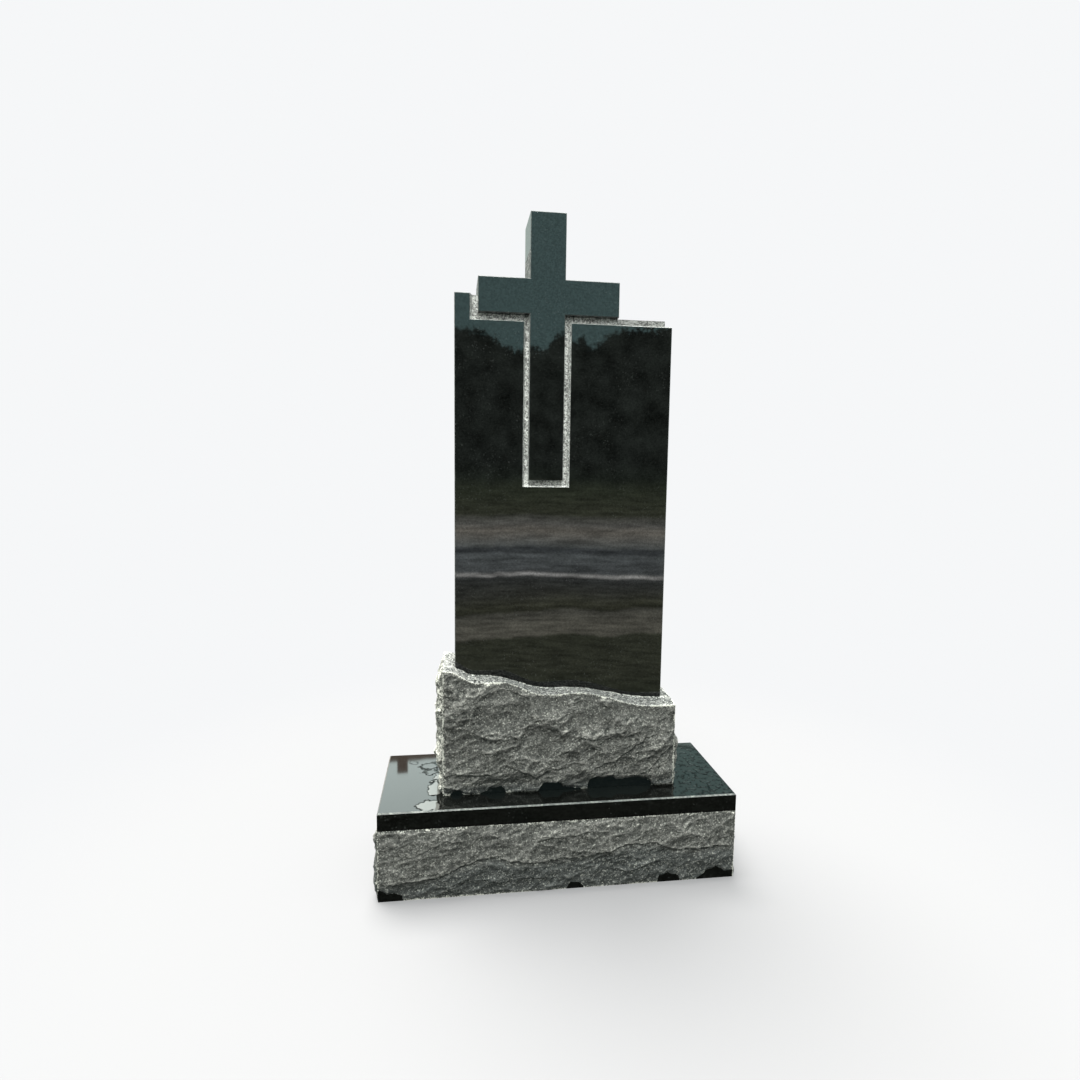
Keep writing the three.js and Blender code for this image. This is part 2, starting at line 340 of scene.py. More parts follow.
def fine_relief(across, up, seed):
    """Shells of several sizes and crumbs on a struck face, in metres."""
    shells = 0
    for number, (spacing, flatness, depth) in enumerate(scallop_levels):
        shells = shells + depth * scallops(across, up, spacing, flatness, seed + 9 * number)
    crumbs = 0.0006 * ripple(across, up, 0.0085, seed + 5) + 0.0005 * ripple(across, up, 0.0042, seed + 6)
    return shells + crumbs


def fall_at(share, steps):
    return sum(drop * smooth(share, start, end) for start, end, drop in steps)


def ledge_height(x, y):
    """Height of the foot's wavy ledge over its underside. Its front edge waves more than its inner line."""
    share = (x - foot_left) / foot_width
    inward = np.clip((y - foot_front) / front_ledge, 0, 1)
    front_fall = fall_at(share, ledge_front_steps)
    slab_fall = fall_at(share, ledge_slab_steps)
    return ledge_high - (1 - inward) * front_fall - inward * slab_fall


def remnant_top(across, remnants, seed):
    """Height of the flat polish left along the lower edge, with slightly ragged tops."""
    top = np.full_like(across, no_remnant)
    for points in remnants:
        places, heights = zip(*points)
        ragged = 0.0012 * ripple(across, 0 * across, 0.007, seed)
        arch = np.interp(across, places, heights, left=no_remnant, right=no_remnant) + ragged
        top = np.maximum(top, arch)
    return top


def block_sides(left, front, width, depth):
    """The four sides of a block: start corner, direction along, outward way and length."""
    return [
        ((left, front), (1, 0), (0, -1), width),
        ((left + width, front), (0, 1), (1, 0), depth),
        ((left + width, front + depth), (-1, 0), (0, 1), width),
        ((left, front + depth), (0, -1), (-1, 0), depth),
    ]


def ridge_measure(relief, reach=2):
    """Positive on ridges and negative in hollows, about -1 to 1."""
    padded = np.pad(relief, reach, mode="edge")
    rows, columns = relief.shape
    span = range(2 * reach + 1)
    mean = sum(padded[r : r + rows, c : c + columns] for r in span for c in span) / (2 * reach + 1) ** 2
    return np.clip((relief - mean) / ridge_relief, -1, 1)


def struck_rings(block, height_at, proud, fineness, seed, remnants, bowls, breaks, painted_shade_top):
    """Rings of points round a block with its struck faces, and the masks that its finish uses."""
    left, front, width, depth, bottom = block
    tallest = float(height_at(left, front))
    rows = round(tallest / rock_cell)
    share = np.arange(rows + 1)[:, None] / rows
    rings, masks = [], {"bruise": [], "remnant": [], "ridge": [], "painted_shade": []}
    for number, (start, along, out, length) in enumerate(block_sides(left, front, width, depth)):
        columns = round(length / rock_cell)
        across = np.arange(columns)[None, :] * length / columns
        x, y = start[0] + along[0] * across, start[1] + along[1] * across
        height = height_at(x, y)
        up = height * share
        across = across + 0 * up
        stone = struck_height(across, up, length, height, seed + 20 * number)
        to_rim = np.minimum.reduce([up, height - up, across, length - across])
        flat = remnant_top(across, remnants if number == 0 else [], seed + 11)
        clear = smooth(up - flat, 0.0, clear_of_remnants)
        fine = fine_relief(across, up, seed + 20 * number + 30)
        if number == 0:
            bowls_here = bowl_cut(across, up, bowls)
            fine = fine * (1 - 0.5 * smooth(bowls_here, 0, 0.008)) - bowls_here
            fine = fine + broken_edges(across, up, breaks)
        relief = proud * stone / stone.max() + fineness * fine * smooth(to_rim, 0.0, calm_rim)
        relief = np.where(relief < least_relief, least_relief * np.exp(relief / least_relief - 1), relief)
        relief = relief * clear * smooth(to_rim, -0.001, 0.003)
        relief = relief * proud / relief.max()
        z = bottom + up
        rings.append(np.stack([x + out[0] * relief, y + out[1] * relief, z], axis=-1))
        ragged = 0.5 + 0.5 * ripple(across, up, 0.012, seed + 40 + number)
        bruised = np.exp(-((to_rim / (0.0015 + 0.0024 * ragged)) ** 2))
        masks["bruise"].append(np.minimum(1, bruised * (0.50 + 0.6 * ragged)))
        masks["remnant"].append(np.clip((flat - up) / 0.006, -1, 1))
        masks["ridge"].append(ridge_measure(relief))
        # Painted shade: the struck stone below this line is made darker and bluish
        masks["painted_shade"].append(smooth(painted_shade_top(across) - up, -0.004, 0.022))
    points = np.concatenate(rings, axis=1)
    return points, {name: np.concatenate(parts, axis=1) for name, parts in masks.items()}


def ring_faces(rows, count, first=0):
    """Quads between rings of that many points, with outward faces."""
    here = first + np.arange(rows - 1)[:, None] * count + np.arange(count)[None, :]
    beside = first + np.arange(rows - 1)[:, None] * count + (np.arange(count)[None, :] + 1) % count
    return np.stack([here, beside, beside + count, here + count], axis=-1).reshape(-1, 4)


def make_stone(name, points, faces, finishes, masks):
    """A mesh object with a finish number per face and a mask value per point."""
    mesh = bpy.data.meshes.new(name)
    mesh.from_pydata(points.tolist(), [], faces)
    mesh.polygons.foreach_set("material_index", finishes)
    for mask, values in masks.items():
        attribute = mesh.attributes.new(mask, "FLOAT", "POINT")
        attribute.data.foreach_set("value", np.asarray(values, np.float32).ravel())
    mesh.update()
    for material in finish_materials:
        mesh.materials.append(material)
    return add_object(name, mesh)


def padded_masks(masks, extra):
    """The ring masks flattened, with neutral values for points added after them."""
    neutral = {"bruise": 0.0, "remnant": -1.0, "ridge": 0.0, "painted_shade": 0.0}
    return {
        name: np.concatenate([values.ravel(), np.full(extra, neutral[name])])
        for name, values in masks.items()
    }


def build_base():
    """The base: struck sides under a polished margin, a rubbed front arris and a polished top."""
    left, front = -base_width / 2, -base_depth / 2
    struck_top = base_height - base_margin
    # Painted shade on the base front below its main broken edge
    shade_line_places, shade_line_heights = zip(*base_breaks[0][1:])
    rings, masks = struck_rings(
        block=(left, front, base_width, base_depth, 0.0),
        height_at=lambda x, y: struck_top + 0 * x,
        proud=base_proud,
        fineness=0.95,
        seed=3,
        remnants=base_remnants,
        bowls=[],
        breaks=base_breaks,
        painted_shade_top=lambda across: np.interp(across, shade_line_places, shade_line_heights),
    )
    rows, count = rings.shape[:2]
    masks["bruise"][rows // 2 :] *= base_rim_wear
    rim = rings[-1]
    corner_shrink = np.array([1 - base_arris / (base_width / 2), 1 - base_arris / (base_depth / 2), 1])
    margin_top = rim * [1, 1, 0] + [0, 0, base_height - base_arris]
    top = rim * corner_shrink * [1, 1, 0] + [0, 0, base_height]
    points = np.concatenate([rings.reshape(-1, 3), rim, margin_top, margin_top, top, top])
    first = rows * count
    struck = ring_faces(rows, count)
    margin = ring_faces(2, count, first)
    arris = ring_faces(2, count, first + 2 * count)
    faces = struck.tolist() + margin.tolist() + arris.tolist()
    faces += [list(range(first + 4 * count, first + 5 * count)), list(range(count - 1, -1, -1))]
    front_count = round(base_width / rock_cell)
    finishes = [STRUCK] * len(struck) + [POLISHED] * len(margin)
    finishes += [ARRIS] * front_count + [POLISHED] * (len(arris) - front_count) + [WET, FROSTED]
    stone = make_stone("base_stone", points, faces, finishes, padded_masks(masks, 5 * count))
    join_seams(stone)
    return stone


def join_seams(stone):
    """Joins the doubled rings, so that the skin is closed."""
    sheet = bmesh.new()
    sheet.from_mesh(stone.data)
    bmesh.ops.remove_doubles(sheet, verts=sheet.verts, dist=0.00001)
    sheet.to_mesh(stone.data)
    sheet.free()


def build_foot():
    """The struck foot with its wavy ledge."""
    rings, masks = struck_rings(
        block=(foot_left, foot_front, foot_width, foot_depth, foot_bottom),
        height_at=ledge_height,
        proud=foot_proud,
        fineness=1.0,
        seed=61,
        remnants=foot_remnants,
        bowls=foot_bowls,
        breaks=foot_breaks,
        # Painted shade on the lowest 30 mm of the foot
        painted_shade_top=lambda across: 0.03 + 0 * across,
    )
    rows, count = rings.shape[:2]
    wide = round(foot_width / rock_cell)
    deep = round(foot_depth / rock_cell)
    left_side = 2 * wide + deep
    # The foot's left side is made paler: partly bruised stone, partly painted light where the light falls
    # from the left
    crumbled_and_lit = 0.50 + 0.18 * masks["ridge"][:, left_side:]
    masks["bruise"][:, left_side:] = np.clip(crumbled_and_lit, 0, 1)
    last = (rows - 1) * count
    inner_first = rows * count
    i, j = np.meshgrid(np.arange(wide + 1), np.arange(deep + 1), indexing="ij")
    grid = inner_first + (i - 1) * (deep - 1) + (j - 1)
    grid[:, 0] = last + np.arange(wide + 1)
    grid[wide, :] = last + wide + np.arange(deep + 1)
    grid[:, deep] = last + left_side - np.arange(wide + 1)
    grid[0, :] = last + (2 * wide + 2 * deep - np.arange(deep + 1)) % count
    x = foot_left + foot_width * i[1:wide, 1:deep] / wide
    y = foot_front + foot_depth * j[1:wide, 1:deep] / deep
    to_rim = np.minimum.reduce([x - foot_left, foot_left + foot_width - x, y - foot_front, -foot_front - y])
    pecked = 0.0010 * ripple(x, y, 0.011, 91) + 0.0007 * ripple(x, y, 0.005, 92)
    z = foot_bottom + ledge_height(x, y) + pecked * smooth(to_rim, 0.0, 0.006)
    inner = np.stack([x, y, z], axis=-1).reshape(-1, 3)
    points = np.concatenate([rings.reshape(-1, 3), inner])
    ledge = np.stack([grid[:-1, :-1], grid[1:, :-1], grid[1:, 1:], grid[:-1, 1:]], axis=-1).reshape(-1, 4)
    struck = ring_faces(rows, count)
    faces = struck.tolist() + ledge.tolist() + [list(range(count - 1, -1, -1))]
    finishes = [STRUCK] * len(struck) + [FROSTED] * len(ledge) + [FROSTED]
    masks = padded_masks(masks, len(inner))
    ragged = 0.5 + 0.5 * ripple(x, y, 0.010, 93)
    to_slab = np.abs(y - slab_front + 0.002)
    bruised = np.exp(-((to_slab / 0.0035) ** 2)) + np.exp(-((to_rim / 0.0030) ** 2))
    masks["bruise"][inner_first:] = (np.minimum(bruised, 1) * (0.4 + 0.6 * ragged)).ravel()
    return make_stone("headstone_stone", points, faces, finishes, masks)


def shifted_outline(outline, shifts):
    """An outline in x and z with each edge moved outward by its own shift."""
    count = len(outline)
    corners = [np.array(corner, float) for corner in outline]
    lines = []
    for place in range(count):
        way = corners[(place + 1) % count] - corners[place]
        outward = np.array([way[1], -way[0]]) / np.hypot(*way)
        lines.append((outward, outward @ corners[place] + shifts[place]))
    moved = []
    for place in range(count):
        before, after = lines[place - 1], lines[place]
        normals = np.array([before[0], after[0]])
        if abs(np.linalg.det(normals)) < 1e-6:
            moved.append(corners[place] + after[0] * shifts[place])
        else:
            moved.append(np.linalg.solve(normals, [before[1], after[1]]))
    return moved


def upright(name, layers, wall_finishes, front_finish, back_finish):
    """A closed stone through outlines at several depths, given as (y, outline) from front to back."""
    count = len(layers[0][1])
    points = np.array([(x, y, z) for y, outline in layers for x, z in outline])
    faces = [list(range(count)), list(range(len(points) - 1, len(points) - count - 1, -1))]
    finishes = [front_finish, back_finish]
    for layer in range(len(layers) - 1):
        for place in range(count):
            here, beside = layer * count + place, layer * count + (place + 1) % count
            faces.append([here, here + count, beside + count, beside])
            finishes.append(wall_finishes[layer][place])
    return make_stone(name, points, faces, finishes, {})


def build_face():
    """The polished face round the channel. Its channel edges slope down to the channel's floor."""
    outline = [
        (slab_left, slab_bottom),
        (slab_right, slab_bottom),
        (slab_right, right_shoulder),
        (stem_right + groove_right_of_stem, right_shoulder),
        (stem_right + groove_right_of_stem, stem_bottom - groove_under_stem),
        (stem_left - groove_left_of_stem, stem_bottom - groove_under_stem),
        (stem_left - groove_left_of_stem, right_shoulder),
        (arm_left - groove_left_of_arm, right_shoulder),
        (arm_left - groove_left_of_arm, left_shoulder),
        (slab_left, left_shoulder),
    ]
    in_channel = [False, False, True, True, True, True, True, True, False, False]

    def moved(channel_shift, shift=0):
        return shifted_outline(outline, [channel_shift if channel else shift for channel in in_channel])

    layers = [
        (slab_front, moved(0, -slab_arris)),
        (slab_front + slab_arris, moved(groove_lip)),
        (groove_floor, moved(groove_slope)),
        (groove_floor + overlap, moved(groove_slope)),
    ]
    slope_finish = [TOOLED if channel else POLISHED for channel in in_channel]
    walls = [[ARRIS] * len(outline), slope_finish, slope_finish]
    return upright("face", layers, walls, POLISHED, POLISHED)


def build_cross():
    """The front of the cross, free of the channel on all sides, with its sides polished in part."""
    outline = [(stem_left, stem_bottom), (stem_right, stem_bottom), (stem_right, arm_under)]
    outline += [*head_outline, (arm_left, arm_under), (stem_left, arm_under)]
    sides = [TOOLED, TOOLED, POLISHED, *head_sides, POLISHED, POLISHED, TOOLED]
    layers = [
        (slab_front, shifted_outline(outline, [-slab_arris] * len(outline))),
        (slab_front + slab_arris, outline),
        (groove_floor + overlap, outline),
    ]
    return upright("cross", layers, [[ARRIS] * len(outline), sides], POLISHED, POLISHED)


def build_back():
    """The body behind the channel, with the outline of slab and cross together."""
    strip_end = slab_right - strip_stop
    outline = [
        (slab_left, slab_bottom),
        (slab_right, slab_bottom),
        (slab_right, right_shoulder),
        (strip_end, right_shoulder),
        (strip_end, arm_under),
        *head_outline,
        (arm_left, left_shoulder),
        (slab_left, left_shoulder),
    ]
    sides = [POLISHED, POLISHED, POLISHED, FROSTED, FROSTED, *head_sides, FROSTED, POLISHED, POLISHED]
    layers = [
        (groove_floor, outline),
        (slab_back - slab_arris, outline),
        (slab_back, shifted_outline(outline, [-slab_arris] * len(outline))),
    ]
    return upright("back", layers, [sides, [ARRIS] * len(outline)], TOOLED, POLISHED)


def joined(whole, *parts):
    """One closed stone from several that overlap."""
    for part in parts:
        union = whole.modifiers.new("union", "BOOLEAN")
        union.operation = "UNION"
        union.solver = "MANIFOLD"
        union.object = part
    evaluated = whole.evaluated_get(bpy.context.evaluated_depsgraph_get())
    mesh = bpy.data.meshes.new_from_object(evaluated)
    whole.modifiers.clear()
    whole.data = mesh
    for part in parts:
        bpy.data.objects.remove(part)
    return whole


def set_sockets(tree, node, values):
    """Gives sockets plain values or other nodes' outputs, by name or by number."""
    for name, value in values.items():
        if isinstance(value, bpy.types.NodeSocket):
            tree.links.new(value, node.inputs[name])
        else:
            node.inputs[name].default_value = value


def add_node(tree, kind, inputs=None, **settings):
    """A node with its settings and its sockets set."""
    node = tree.nodes.new(kind)
    for name, value in settings.items():
        setattr(node, name, value)
    set_sockets(tree, node, inputs or {})
    return node


def calc(tree, operation, *values):
    return add_node(tree, "ShaderNodeMath", dict(enumerate(values)), operation=operation).outputs[0]


def product(tree, result, *others):
    for value in others:
        result = calc(tree, "MULTIPLY", result, value)
    return result


def total(tree, result, *others):
    for value in others:
        result = calc(tree, "ADD", result, value)
    return result


def less(tree, first, second):
    return calc(tree, "SUBTRACT", first, second)


def vector_calc(tree, operation, first, second):
    return add_node(tree, "ShaderNodeVectorMath", {0: first, 1: second}, operation=operation).outputs[0]


def vector_length(tree, vector):
    return add_node(tree, "ShaderNodeVectorMath", {0: vector}, operation="LENGTH").outputs["Value"]


def combined(tree, x, y):
    return add_node(tree, "ShaderNodeCombineXYZ", {"X": x, "Y": y}).outputs[0]


def separated(tree, place):
    return add_node(tree, "ShaderNodeSeparateXYZ", {"Vector": place}).outputs


def blend_colour(tree, share, first, second, mode="MIX"):
    sockets = {0: share, 6: first, 7: second}
    return add_node(tree, "ShaderNodeMix", sockets, data_type="RGBA", blend_type=mode).outputs[2]


def ranged(tree, value, low, high, to_low=0.0, to_high=1.0, kind="SMOOTHSTEP"):
    sockets = {"Value": value, "From Min": low, "From Max": high, "To Min": to_low, "To Max": to_high}
    node = add_node(tree, "ShaderNodeMapRange", sockets, interpolation_type=kind, clamp=True)
    return node.outputs["Result"]


def noise_value(tree, place, scale, detail):
    sockets = {"Vector": place, "Scale": scale, "Detail": detail}
    return add_node(tree, "ShaderNodeTexNoise", sockets).outputs["Fac"]


def cell_pattern(tree, place, scale):
    """The cells of a mosaic, and three random tones of each cell."""
    cells = add_node(tree, "ShaderNodeTexVoronoi", {"Vector": place, "Scale": scale})
    tones = add_node(tree, "ShaderNodeSeparateColor", {"Color": cells.outputs["Color"]})
    return cells, tones.outputs


def bumped(tree, height, depth):
    """The normal of a surface with small heights, as shares of a depth in metres."""
    sockets = {"Strength": 1.0, "Distance": depth, "Height": height}
    return add_node(tree, "ShaderNodeBump", sockets).outputs["Normal"]


def tinted(tree, tone, colour):
    """The colour scaled by a tone that changes over the surface."""
    grey = add_node(tree, "ShaderNodeCombineColor", {"Red": tone, "Green": tone, "Blue": tone}).outputs[0]
    return blend_colour(tree, 1.0, grey, colour, "MULTIPLY")


def new_group(name, inputs, outputs):
    """A node group with its input and output nodes. An input that has no value here is a vector."""
    tree = bpy.data.node_groups.new(name, "ShaderNodeTree")
    for socket, value in inputs.items():
        kind = "NodeSocketVector" if value is None else "NodeSocketFloat"
        made = tree.interface.new_socket(socket, in_out="INPUT", socket_type=kind)
        if value is not None:
            made.default_value = value
    for socket in outputs:
        tree.interface.new_socket(socket, in_out="OUTPUT", socket_type="NodeSocketFloat")
    return tree, tree.nodes.new("NodeGroupInput").outputs, tree.nodes.new("NodeGroupOutput")


def use_group(tree, name, **inputs):
    return add_node(tree, "ShaderNodeGroup", inputs, node_tree=groups[name]).outputs


def make_crystal_group():
    """Broken crystal faces: each cell has its own brightness, a few flash, and all stand at odd heights."""
    inputs = {"Vector": None, "Size": 0.003, "Flash": 0.9}
    tree, given, made = new_group("crystal_faces", inputs, ["Tone", "Flash", "Height"])
    scale = calc(tree, "DIVIDE", 1.0, given["Size"])
    large = cell_pattern(tree, given["Vector"], scale)[1]
    small = cell_pattern(tree, given["Vector"], product(tree, scale, 2.3))[1]
    set_sockets(tree, made, {
        "Tone": total(tree, product(tree, large[0], 0.62), product(tree, small[0], 0.38)),
        "Flash": ranged(tree, large[1], given["Flash"], 1.0),
        "Height": total(tree, large[2], product(tree, small[2], 0.5)),
    })
    return tree


def make_speck_group():
    """Light mineral specks scattered in polished stone."""
    inputs = {"Vector": None, "Spacing": 0.008, "Share": 0.3}
    tree, given, made = new_group("mineral_specks", inputs, ["Mask"])
    scale = calc(tree, "DIVIDE", 1.0, given["Spacing"])
    cells, tones = cell_pattern(tree, given["Vector"], scale)
    size = ranged(tree, tones[0], 0.0, 1.0, 0.06, 0.12, "LINEAR")
    core = calc(tree, "LESS_THAN", cells.outputs["Distance"], size)
    picked = calc(tree, "LESS_THAN", tones[1], given["Share"])
    set_sockets(tree, made, {"Mask": product(tree, core, picked, tones[2])})
    return tree


def make_cloud_group():
    """Soft uneven tone over a face."""
    tree, given, made = new_group("uneven_tone", {"Vector": None, "Size": 0.05, "Amount": 0.3}, ["Tone"])
    scale = calc(tree, "DIVIDE", 1.0, given["Size"])
    centred = less(tree, noise_value(tree, given["Vector"], scale, 3.0), 0.5)
    tone = calc(tree, "MULTIPLY_ADD", centred, product(tree, given["Amount"], 2.0), 1.0)
    set_sockets(tree, made, {"Tone": tone})
    return tree


def make_pool_group():
    """Distance to the edge of an oval pool, below 0 inside it, in parts of its half size."""
    inputs = {"Vector": None, "Centre": None, "Half": None}
    tree, given, made = new_group("oval_pool", inputs, ["Distance"])
    offset = vector_calc(tree, "SUBTRACT", given["Vector"], given["Centre"])
    away = vector_length(tree, vector_calc(tree, "DIVIDE", offset, given["Half"]))
    set_sockets(tree, made, {"Distance": less(tree, away, 1.0)})
    return tree


def start_material(name):
    """A material with its principled shader, its tree and the place on the stone."""
    material = bpy.data.materials.new(name)
    material.use_nodes = True
    tree = material.node_tree
    shader = tree.nodes["Principled BSDF"]
    place = add_node(tree, "ShaderNodeTexCoord").outputs["Object"]
    return material, tree, shader, place


def mask_value(tree, name):
    return add_node(tree, "ShaderNodeAttribute", attribute_name=name).outputs["Fac"]


def crumbly(tree, grain):
    """The bruise mask broken up into grains."""
    uneven = product(tree, less(tree, grain, 0.5), 1.3)
    return ranged(tree, total(tree, mask_value(tree, "bruise"), uneven), 0.35, 0.75)


def polish_colour(tree, place):
    """Near-black polish in which the crystals still show faintly, with a few light specks."""
    crystals = use_group(tree, "crystal", Vector=place, Size=0.0036, Flash=0.9)
    grain = ranged(tree, crystals["Tone"], 0.25, 0.95, 0.12, 1.5, "LINEAR")
    specks = use_group(tree, "speck", Vector=place, Spacing=0.012, Share=0.35)
    patches = use_group(tree, "cloud", Vector=place, Size=0.09, Amount=1.0)
    dusty = product(tree, crystals["Flash"], ranged(tree, patches["Tone"], 0.85, 1.35, 0.02, 0.12))
    stone = blend_colour(tree, dusty, tinted(tree, grain, polish_grain), polish_dust)
    return blend_colour(tree, specks["Mask"], stone, polish_speck)


def make_polished():
    """Polish that mirrors its surroundings, under a faint grain of glossier crystals."""
    material, tree, shader, place = start_material("polished_granite")
    smear = use_group(tree, "cloud", Vector=place, Size=0.15, Amount=0.5)
    crystals = use_group(tree, "crystal", Vector=place, Size=0.0030, Flash=0.9)
    set_sockets(tree, shader, {
        "Base Color": polish_colour(tree, place),
        "Roughness": product(tree, smear["Tone"], 0.022),
        "Coat Weight": ranged(tree, crystals["Tone"], 0.2, 0.8, 0.05, 0.55, "LINEAR"),
        "Coat Roughness": 0.022,
        "Coat IOR": 1.5,
        "Specular IOR Level": 0.38,
        "IOR": 1.55,
    })
    return material


def beyond_pools(tree, place, pools):
    """How far a place lies beyond the nearest pool's wandering edge, below 0 inside the pool."""
    noise = add_node(tree, "ShaderNodeTexNoise", {"Vector": place, "Scale": 55.0, "Detail": 2.0})
    centred = vector_calc(tree, "SUBTRACT", noise.outputs["Color"], (0.5, 0.5, 0.5))
    bent = vector_calc(tree, "ADD", place, vector_calc(tree, "MULTIPLY", centred, (0.04, 0.05, 0.0)))
    nearest = 9.0
    for across, inward, half_across, half_inward in pools:
        centre, half = (across, inward, base_height), (half_across, half_inward, 1.0)
        pool = use_group(tree, "pool", Vector=bent, Centre=centre, Half=half)
        nearest = calc(tree, "MINIMUM", pool["Distance"], nearest)
    return nearest


def make_wet():
    """The base's polished top with rain on it: pools beside the foot on the left, beads on the right, with
    painted dark rims round them.
    """
    material, tree, shader, place = start_material("wet_granite")

    def rim_line(distance, fades_out, full):
        return ranged(tree, calc(tree, "ABSOLUTE", distance), fades_out, full)

    milky = beyond_pools(tree, place, milky_pools)
    clear = beyond_pools(tree, place, clear_drops)
    dome = total(tree, ranged(tree, milky, 0.06, -0.16), ranged(tree, clear, 0.06, -0.30))
    noise = noise_value(tree, place, 62.0, 1.5)
    beaded = calc(tree, "GREATER_THAN", separated(tree, place)[0], beads_from)
    beads = product(tree, ranged(tree, noise, 0.54, 0.66), beaded)
    height = total(tree, dome, product(tree, beads, 0.20))
    cloud = use_group(tree, "cloud", Vector=place, Size=0.03, Amount=0.5)
    stone = tinted(tree, cloud["Tone"], polish_grain)
    filmed = blend_colour(tree, ranged(tree, milky, 0.03, -0.12), stone, milk_tone)
    # Painted dark reflection: black, metallic rims round the pools and beads stand in for the drops' dark
    # edges
    pool_rim = calc(tree, "MAXIMUM", rim_line(milky, 0.14, 0.05), rim_line(clear, 0.17, 0.06))
    bead_rim = product(tree, rim_line(less(tree, noise, 0.58), 0.075, 0.035), beaded)
    rim = calc(tree, "MAXIMUM", pool_rim, bead_rim)
    set_sockets(tree, shader, {
        "Base Color": blend_colour(tree, rim, filmed, drop_rim_painted_dark),
        "Metallic": rim,
        "Normal": bumped(tree, height, 0.0016),
        "Roughness": 0.03,
        "IOR": 1.55,
    })
    return material


def make_struck():
    """Split stone: grey crystal faces with painted glints, painted highlight on ridges and painted shade in
    hollows, painted shade low down, pale bruised arrises, black where polish is left.
    """
    material, tree, shader, place = start_material("struck_granite")
    crystals = use_group(tree, "crystal", Vector=place, Size=0.0030, Flash=0.93)
    cloud = use_group(tree, "cloud", Vector=place, Size=0.045, Amount=0.45)
    grain = ranged(tree, crystals["Tone"], 0.15, 0.85, 0.042, 0.146, "LINEAR")
    # Painted light from the relief: ridges lightened as painted highlight, hollows darkened as painted
    # shade
    ridge = ranged(tree, mask_value(tree, "ridge"), -1.0, 1.0, 0.28, 1.52, "LINEAR")
    # Painted shade: a darker, bluish tint low on the struck faces
    shade = blend_colour(tree, mask_value(tree, "painted_shade"), unshaded_tint, painted_shade_tint)
    body = tinted(tree, product(tree, grain, cloud["Tone"], ridge), shade)
    # Painted glints: a few crystal faces made pale as if catching the light
    painted_glints = blend_colour(tree, product(tree, crystals["Flash"], 0.38), body, struck_painted_glint)
    bruised = blend_colour(tree, crumbly(tree, crystals["Tone"]), painted_glints, struck_bruise)
    left = calc(tree, "GREATER_THAN", mask_value(tree, "remnant"), 0.0)
    rise = product(tree, crystals["Height"], less(tree, 1.0, left))
    set_sockets(tree, shader, {
        "Base Color": blend_colour(tree, left, bruised, polish_colour(tree, place)),
        "Roughness": ranged(tree, left, 0.0, 1.0, 0.78, 0.07),
        "Normal": bumped(tree, rise, 0.0007),
        "IOR": 1.5,
    })
    return material


def make_pecked(name, size, low, high, tint, depth, roughness, painted_end_shade):
    """Worked stone: a fine pale pecked surface with painted glints, and painted shade darkening it beyond
    the right arm by the given share.
    """
    material, tree, shader, place = start_material(name)
    crystals = use_group(tree, "crystal", Vector=place, Size=size, Flash=0.93)
    cloud = use_group(tree, "cloud", Vector=place, Size=0.02, Amount=0.4)
    grain = ranged(tree, crystals["Tone"], 0.28, 0.72, low, high, "LINEAR")
    body = tinted(tree, product(tree, grain, cloud["Tone"]), tint)
    # Painted glints: a few crystal faces made pale as if catching the light
    painted_glints = blend_colour(tree, product(tree, crystals["Flash"], 0.7), body, pecked_painted_glint)
    bruised = blend_colour(tree, crumbly(tree, crystals["Tone"]), painted_glints, pecked_bruise)
    across = separated(tree, place)[0]
    # Painted shade: the floor beyond the right arm, where the arm casts no shadow, is darkened
    shade = ranged(tree, across, arm_right - 0.008, arm_right + 0.004, 1.0, painted_end_shade)
    set_sockets(tree, shader, {
        "Base Color": tinted(tree, shade, bruised),
        "Normal": bumped(tree, crystals["Height"], depth),
        "Roughness": roughness,
    })
    return material


def make_arris():
    """The rubbed edge between two faces, paler than the polish and slightly chipped."""
    material, tree, shader, place = start_material("arris_granite")
    crystals = use_group(tree, "crystal", Vector=place, Size=0.006, Flash=0.85)
    tone = ranged(tree, crystals["Tone"], 0.2, 0.8, 0.06, 0.15, "LINEAR")
    chipped = blend_colour(tree, crystals["Flash"], tinted(tree, tone, arris_tint), arris_chip)
    set_sockets(tree, shader, {"Base Color": chipped, "Roughness": 0.32})
    return material


def mirrored_tone(red, green, blue):
    """The light that makes the polish show this display colour."""
    shares = [value / 255 for value in (red, green, blue)]
    light = [share / 12.92 if share <= 0.04045 else ((share + 0.055) / 1.055) ** 2.4 for share in shares]
    return tuple(mirror_gain * value for value in light) + (1,)


def fill_ramp(node, stops, low, high, colours):
    """Sets a colour ramp from stops given as places between low and high."""
    ramp = node.color_ramp
    ramp.elements[0].position, ramp.elements[1].position = 0.0, 1.0
    ordered = sorted(zip(stops, colours))
    ramp.elements[0].color, ramp.elements[1].color = ordered[0][1], ordered[-1][1]
    for stop, colour in ordered[1:-1]:
        ramp.elements.new((stop - low) / (high - low)).color = colour


def wander(tree, angle, size, amount, detail=2.0):
    """A wavy shift in degrees, with waves of about that size along the angle."""
    spot = combined(tree, calc(tree, "DIVIDE", angle, size), size)
    return product(tree, less(tree, noise_value(tree, spot, 1.0, detail), 0.5), amount)


